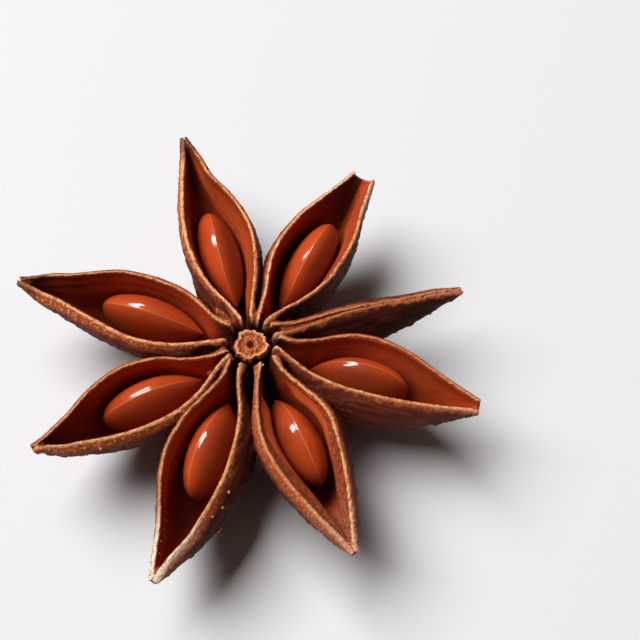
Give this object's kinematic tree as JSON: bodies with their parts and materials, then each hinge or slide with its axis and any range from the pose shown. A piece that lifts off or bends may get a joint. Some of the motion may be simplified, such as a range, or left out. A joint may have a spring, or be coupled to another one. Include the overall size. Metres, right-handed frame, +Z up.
{
  "type": "star anise pod",
  "caption": "Dried star anise pod lying face up: boat-shaped woody carpels around a central column, most split open along the top with a glossy seed in each.",
  "frame": {"origin": "on the axis of the central column, in the plane that the pod rests on", "axes": "+Z up out of the open carpels, along the central column"},
  "size_m": [0.032, 0.0341, 0.0074],
  "materials": {
    "husk": "dry, dull and wrinkled lengthwise outside, satin inside the hollows, with paler rough lips",
    "seed": "smooth glossy seed coat, orange-brown"
  },
  "bodies": {
    "root": {"husk": "husk", "seed_1": "seed", "seed_2": "seed", "seed_3": "seed", "seed_4": "seed", "seed_5": "seed", "seed_6": "seed", "seed_7": "seed"}
  },
  "joints": []
}
